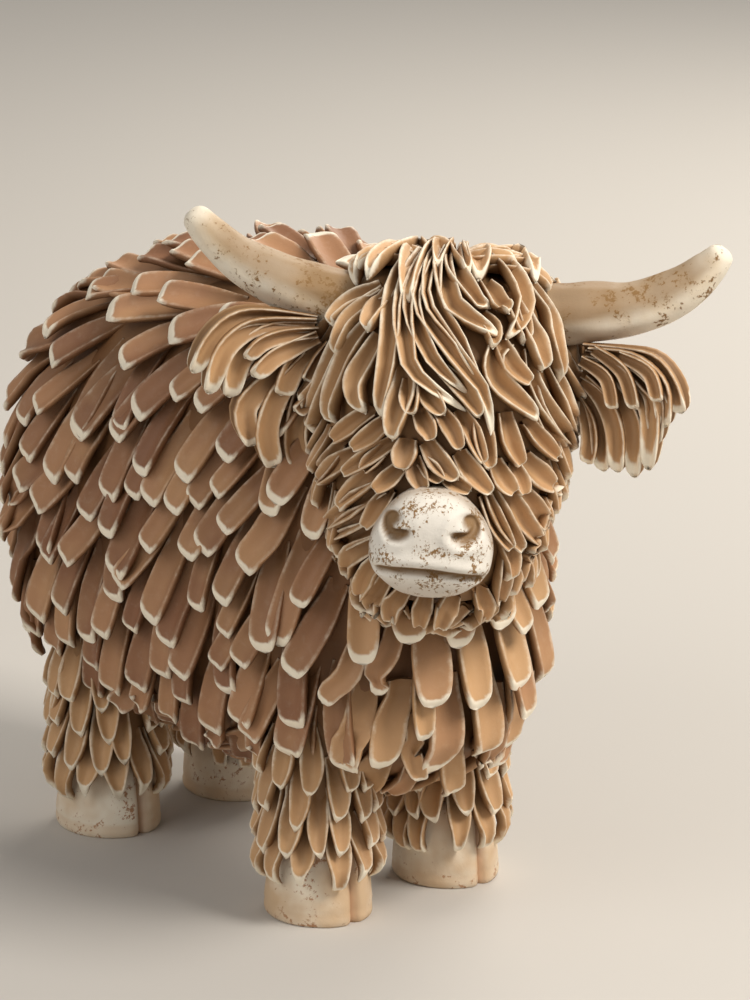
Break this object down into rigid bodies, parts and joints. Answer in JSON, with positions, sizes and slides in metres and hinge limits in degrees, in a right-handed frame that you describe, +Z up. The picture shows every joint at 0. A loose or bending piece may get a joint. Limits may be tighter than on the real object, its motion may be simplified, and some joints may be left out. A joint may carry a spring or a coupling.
{
  "type": "cow figurine",
  "caption": "Standing shaggy Highland cow ornament with turned head, long forelock, spreading horns, drooping ears and hooves, put together from cast pieces on glued pegs.",
  "frame": {"origin": "on the ground under the middle of the bounding box", "axes": "+Z up, the cow's body faces -Y and its left side is +X; the head is turned to its right, towards -X"},
  "size_m": [0.0958, 0.1852, 0.1555],
  "materials": {
    "coat": "matte brown paint with cream dry-brushed edges",
    "fringe": "matte brown paint with cream dry-brushed edges",
    "muzzle": "matte white paint rubbed back to brown",
    "horn": "matte cream paint with a bronze wash",
    "hoof": "matte beige paint"
  },
  "bodies": {
    "root": {"torso": "coat", "head": "coat", "forelock": "fringe", "muzzle": "muzzle", "horn_right": "horn", "horn_left": "horn", "ear_right": "coat", "ear_left": "coat", "leg_front_right": "coat", "leg_front_left": "coat", "leg_rear_right": "coat", "leg_rear_left": "coat", "hoof_front_right": "hoof", "hoof_front_left": "hoof", "hoof_rear_right": "hoof", "hoof_rear_left": "hoof", "tail": "coat"}
  },
  "joints": []
}
